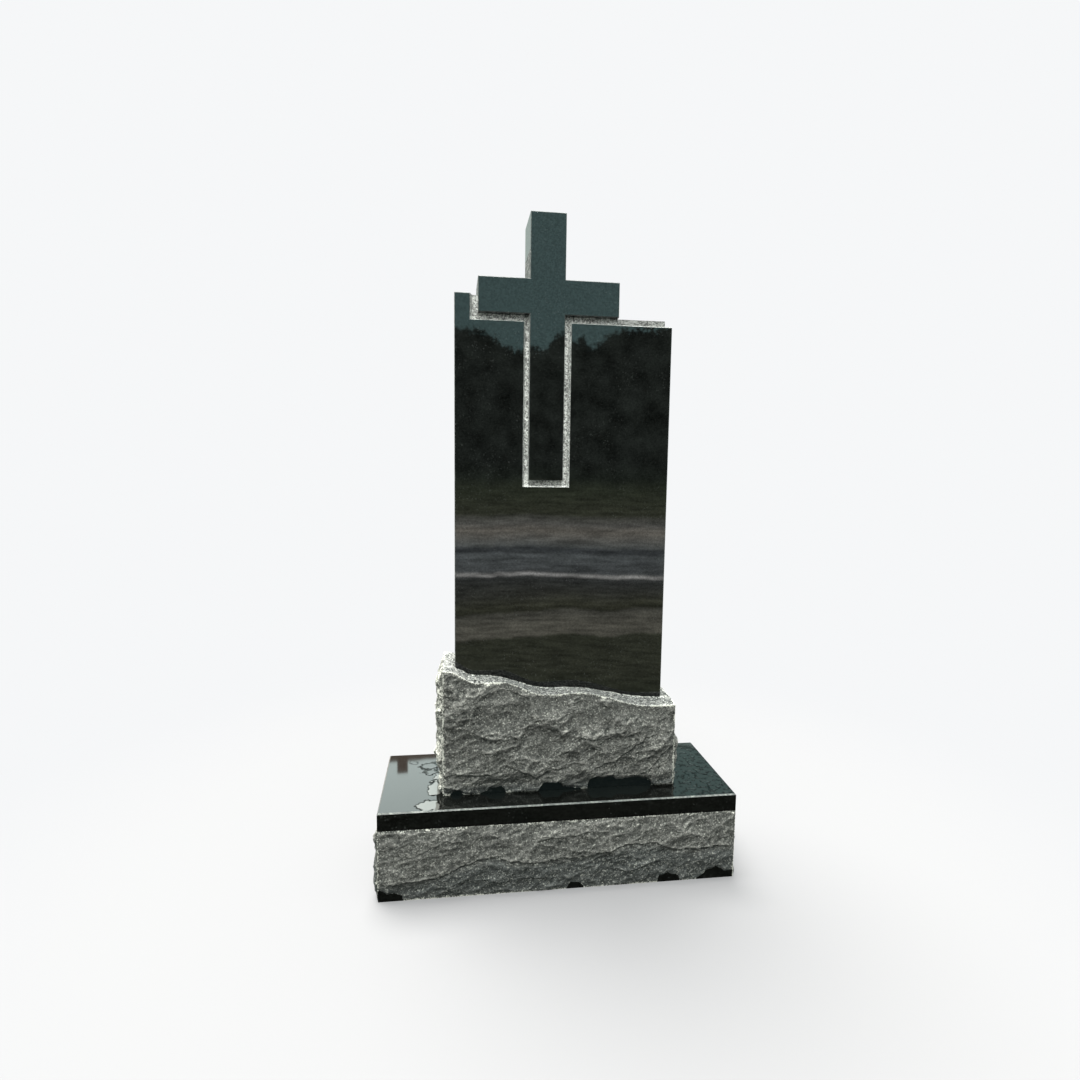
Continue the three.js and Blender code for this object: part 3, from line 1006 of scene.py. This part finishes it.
def ground_colour(tree, way, ahead, elevation, leaf_spot):
    """Bands of low ground. The nearer ones slant a little up to the right."""
    waves = total(tree, wander(tree, ahead, 9.0, 1.1), wander(tree, ahead, 1.4, 0.25))
    slant = total(tree, product(tree, less(tree, ahead, 9.0), -0.06), wander(tree, ahead, 4.0, 1.1))
    slant = product(tree, slant, ranged(tree, elevation, -9.6, -11.6))
    bent = total(tree, elevation, total(tree, waves, slant))
    low, high = ground_bands[0][0], ground_bands[-1][0]
    bands = add_node(tree, "ShaderNodeValToRGB", {"Fac": ranged(tree, bent, low, high, kind="LINEAR")})
    stops, tones = zip(*ground_bands)
    fill_ramp(bands, stops, low, high, [mirrored_tone(*tone) for tone in tones])
    grit = noise_value(tree, vector_calc(tree, "MULTIPLY", way, (24, 24, 250)), 1.0, 3.0)
    clumps = noise_value(tree, leaf_spot, 0.55, 5.0)
    sockets = {
        "Factor": ranged(tree, elevation, -2.5, 0.5),
        "A": ranged(tree, grit, 0.3, 0.7, 0.55, 1.45, "LINEAR"),
        "B": ranged(tree, clumps, 0.3, 0.7, 0.35, 1.75, "LINEAR"),
    }
    uneven = add_node(tree, "ShaderNodeMix", sockets).outputs["Result"]
    return tinted(tree, uneven, bands.outputs["Color"])


def front_colour(tree, ahead, elevation, leaf_spot, ground):
    """Sky over a leafy skyline in front of the stone."""
    az_low, az_high, el_high = skyline[0][0], skyline[-1][0], 20.0
    az_share = ranged(tree, ahead, az_low, az_high, kind="LINEAR")
    curve = add_node(tree, "ShaderNodeFloatCurve", {"Value": az_share})
    line = curve.mapping.curves[0]
    line.points[0].location = (0, skyline[0][1] / el_high)
    line.points[1].location = (1, skyline[-1][1] / el_high)
    for azimuth, height in skyline[1:-1]:
        line.points.new((azimuth - az_low) / (az_high - az_low), height / el_high)
    curve.mapping.update()
    leafy = product(tree, less(tree, noise_value(tree, leaf_spot, 3.2, 4.0), 0.5), 2.2)
    leaves = total(tree, leafy, wander(tree, ahead, 0.9, 1.3, 3.0), wander(tree, ahead, 6.0, 0.5))
    crest = total(tree, product(tree, curve.outputs[0], el_high), leaves)
    above = ranged(tree, less(tree, elevation, crest), -0.12, 0.15)
    sky = blend_colour(tree, ranged(tree, elevation, 12.0, 40.0), low_sky, high_sky)
    return blend_colour(tree, above, ground, sky)


def back_colour(tree, behind, elevation, ground):
    """Behind: bright sky on the left over a low wall and post, and a darker rise on the right."""
    rise = total(tree, ranged(tree, behind, 1.0, 9.0, 24.6, 34.0), wander(tree, behind, 3.0, 0.5))
    back_above = ranged(tree, less(tree, elevation, rise), -0.1, 0.15)
    over_ground = ranged(tree, elevation, 22.4, 22.8)
    post_sides = product(
        tree,
        ranged(tree, behind, -5.30, -5.20),
        less(tree, 1.0, ranged(tree, behind, -4.36, -4.26)),
    )
    post = product(tree, post_sides, less(tree, 1.0, ranged(tree, elevation, 25.52, 25.62)), over_ground)
    far_line = product(tree, ranged(tree, elevation, 23.00, 23.08), ranged(tree, elevation, 23.28, 23.18))
    right_tone = blend_colour(tree, ranged(tree, elevation, 23.3, 22.9), rise_far, rise_near)
    right_tone = blend_colour(tree, far_line, right_tone, far_line_tone)
    wall = product(tree, over_ground, ranged(tree, behind, -9.0, -8.0))
    left_tone = blend_colour(tree, wall, open_ground, wall_tone)
    low_tone = blend_colour(tree, ranged(tree, behind, 0.0, 8.0), left_tone, right_tone)
    sky = blend_colour(tree, ranged(tree, elevation, 30.0, 60.0), back_sky_low, back_sky_high)
    low_view = blend_colour(tree, ranged(tree, elevation, -2.0, 1.0), ground, low_tone)
    view = blend_colour(tree, back_above, low_view, sky)
    return blend_colour(tree, post, view, wall_tone)


def build_surroundings():
    """What the polish mirrors, and the soft light on the rest. Seen direct it is a plain backdrop."""
    world = bpy.data.worlds.new("surroundings")
    bpy.context.scene.world = world
    world.use_nodes = True
    tree = world.node_tree
    tree.nodes.clear()
    way = add_node(tree, "ShaderNodeTexCoord").outputs["Generated"]
    x, y, z = separated(tree, way)
    elevation = calc(tree, "DEGREES", calc(tree, "ARCSINE", z))
    ahead = calc(tree, "DEGREES", calc(tree, "ARCTAN2", x, product(tree, y, -1.0)))
    behind = calc(tree, "DEGREES", calc(tree, "ARCTAN2", x, y))
    leaf_spot = combined(tree, ahead, elevation)
    ground = ground_colour(tree, way, ahead, elevation, leaf_spot)
    front_view = front_colour(tree, ahead, elevation, leaf_spot, ground)
    back_view = back_colour(tree, behind, elevation, ground)
    mirrored = blend_colour(tree, ranged(tree, y, -0.25, 0.25), front_view, back_view)

    soft = blend_colour(tree, ranged(tree, z, -0.06, 0.10), soft_low, soft_level)
    soft = blend_colour(tree, ranged(tree, z, 0.10, 1.0, kind="LINEAR"), soft, soft_high)
    path = add_node(tree, "ShaderNodeLightPath")
    seen = blend_colour(tree, path.outputs["Is Glossy Ray"], soft, mirrored)
    seen = blend_colour(tree, path.outputs["Is Camera Ray"], seen, backdrop_tone)
    shine = add_node(tree, "ShaderNodeBackground", {"Color": seen, "Strength": 1.0})
    add_node(tree, "ShaderNodeOutputWorld", {"Surface": shine.outputs[0]})


def build_light(name, comes_from, energy, spread, colour):
    """A broad soft light from one side."""
    data = bpy.data.lights.new(name, "SUN")
    data.energy = energy
    data.angle = math.radians(spread)
    data.color = colour
    light = add_object(name, data)
    light.matrix_world = Vector(comes_from).to_track_quat("Z", "Y").to_matrix().to_4x4()
    light.visible_glossy = False


def build_floor():
    """A pale floor that takes the soft shadow and fades into the plain backdrop."""
    mesh = bpy.data.meshes.new("floor")
    half = floor_half
    corners = [(-half, -half), (half, -half), (half, half), (-half, half)]
    mesh.from_pydata([(x, y, -floor_drop) for x, y in corners], [], [(0, 1, 2, 3)])
    floor = add_object("floor", mesh)
    material = bpy.data.materials.new("pale_floor")
    material.use_nodes = True
    tree = material.node_tree
    tree.nodes.clear()
    away = vector_length(tree, add_node(tree, "ShaderNodeTexCoord").outputs["Object"])
    matt = add_node(tree, "ShaderNodeBsdfDiffuse", {"Color": floor_tone})
    glow = add_node(tree, "ShaderNodeEmission", {"Color": backdrop_tone, "Strength": 1.0})
    share = ranged(tree, away, floor_fade_from, floor_fade_to, floor_glow, 1.0)
    mixed = add_node(tree, "ShaderNodeMixShader", {"Fac": share, 1: matt.outputs[0], 2: glow.outputs[0]})
    add_node(tree, "ShaderNodeOutputMaterial", {"Surface": mixed.outputs[0]})
    mesh.materials.append(material)
    floor.visible_glossy = False
    floor.visible_diffuse = False


# Colours of the finishes
polish_grain = (0.0030, 0.0034, 0.0030, 1)
polish_speck = (0.17, 0.185, 0.16, 1)
polish_dust = (0.16, 0.175, 0.165, 1)
milk_tone = (0.060, 0.062, 0.057, 1)
# Near-black of the painted dark rims round pools and beads
drop_rim_painted_dark = (0.001, 0.001, 0.001, 1)
# The struck stone's tint, and the darker bluish tint of painted shade low down
unshaded_tint = (1.06, 1.06, 0.97, 1)
painted_shade_tint = (0.64, 0.67, 0.64, 1)
# Pale tone of painted glints on struck crystal faces
struck_painted_glint = (0.52, 0.53, 0.47, 1)
struck_bruise = (0.52, 0.525, 0.465, 1)
# Pale tone of painted glints on pecked crystal faces
pecked_painted_glint = (0.75, 0.76, 0.70, 1)
pecked_bruise = (0.60, 0.61, 0.56, 1)
tooled_tint = (0.98, 1.0, 0.96, 1)
frosted_tint = (0.98, 1.0, 0.95, 1)
arris_tint = (0.97, 1.0, 0.95, 1)
arris_chip = (0.18, 0.19, 0.17, 1)

# Floor and backdrop, and the soft light that comes from low down, level and high up
floor_half = 9.0
floor_drop = 0.0002
floor_fade_from = 0.9
floor_fade_to = 1.9
floor_glow = 0.22
floor_tone = (0.158, 0.158, 0.162, 1)
backdrop_tone = (0.92, 0.93, 0.94, 1)
soft_low = (0.08, 0.09, 0.09, 1)
soft_level = (0.36, 0.38, 0.37, 1)
soft_high = (1.90, 2.0, 1.97, 1)

# Ground bands in front: elevation in degrees, and the tone that the polish shows
ground_bands = [
    (-30.0, (12, 13, 11)), (-24.0, (14, 15, 12)), (-21.0, (32, 35, 27)),
    (-17.0, (43, 45, 37)), (-14.5, (41, 43, 35)), (-14.3, (76, 75, 68)),
    (-13.4, (77, 76, 69)), (-12.3, (60, 60, 55)), (-12.1, (38, 39, 31)), (-11.7, (50, 51, 42)),
    (-10.7, (45, 46, 42)), (-9.25, (43, 45, 45)), (-9.13, (128, 128, 126)), (-8.98, (128, 128, 126)),
    (-8.85, (58, 61, 62)), (-7.3, (70, 74, 75)), (-6.95, (48, 51, 53)), (-6.7, (48, 51, 53)),
    (-6.45, (74, 77, 76)), (-5.1, (91, 88, 82)), (-4.5, (76, 76, 73)), (-3.85, (58, 59, 54)),
    (-3.65, (45, 47, 38)), (-1.5, (38, 42, 33)), (-0.4, (24, 28, 24)), (1.0, (23, 26, 24)),
]
# Skyline in front: azimuth and height, both in degrees
skyline = [
    (-6, 12.6), (0, 12.1), (2.2, 12.0), (4.2, 10.8), (5.6, 10.4), (6.9, 10.9), (7.5, 10.5), (8.9, 11.8),
    (9.6, 11.9), (10.5, 11.3), (11.1, 11.6), (11.6, 10.8), (13.6, 11.8), (16.8, 12.2), (24, 12.8),
]
mirror_gain = 0.82 / 0.0465
low_sky = mirrored_tone(59, 75, 75)
high_sky = mirrored_tone(62, 78, 77)
rise_far = (0.34, 0.53, 0.51, 1)
rise_near = (0.62, 0.80, 0.76, 1)
far_line_tone = (0.06, 0.08, 0.08, 1)
open_ground = (0.52, 0.61, 0.57, 1)
wall_tone = (0.36, 0.26, 0.21, 1)
back_sky_low = (2.75, 3.15, 3.05, 1)
back_sky_high = (1.6, 1.8, 1.8, 1)

make_camera()
build_surroundings()
build_light("key_from_above", (-0.16, 0.26, 0.95), energy=12.5, spread=36, colour=(1.0, 0.985, 0.95))
build_light("fill_from_front_top", (-0.14, -0.42, 0.90), energy=3.0, spread=20, colour=(1.0, 1.0, 0.97))
build_light("fill_from_front", (-0.06, -0.86, 0.50), energy=0.9, spread=30, colour=(1.0, 1.0, 0.97))
build_floor()
bpy.context.scene.view_settings.view_transform = "Standard"

groups = {
    "crystal": make_crystal_group(),
    "speck": make_speck_group(),
    "cloud": make_cloud_group(),
    "pool": make_pool_group(),
}
finish_materials = [
    make_polished(),
    make_struck(),
    make_pecked(
        "tooled_granite", size=0.0033, low=0.20, high=1.0, tint=tooled_tint, depth=0.0012,
        roughness=0.85, painted_end_shade=strip_painted_shade,
    ),
    make_pecked(
        "frosted_granite", size=0.0036, low=0.02, high=0.25, tint=frosted_tint, depth=0.0006,
        roughness=0.75, painted_end_shade=1.0,
    ),
    make_arris(),
    make_wet(),
]

base_stone = build_base()
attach(base_stone, "root")
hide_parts("base")

headstone_stone = joined(build_foot(), build_back(), build_face(), build_cross())
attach(headstone_stone, "root")
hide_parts("headstone")
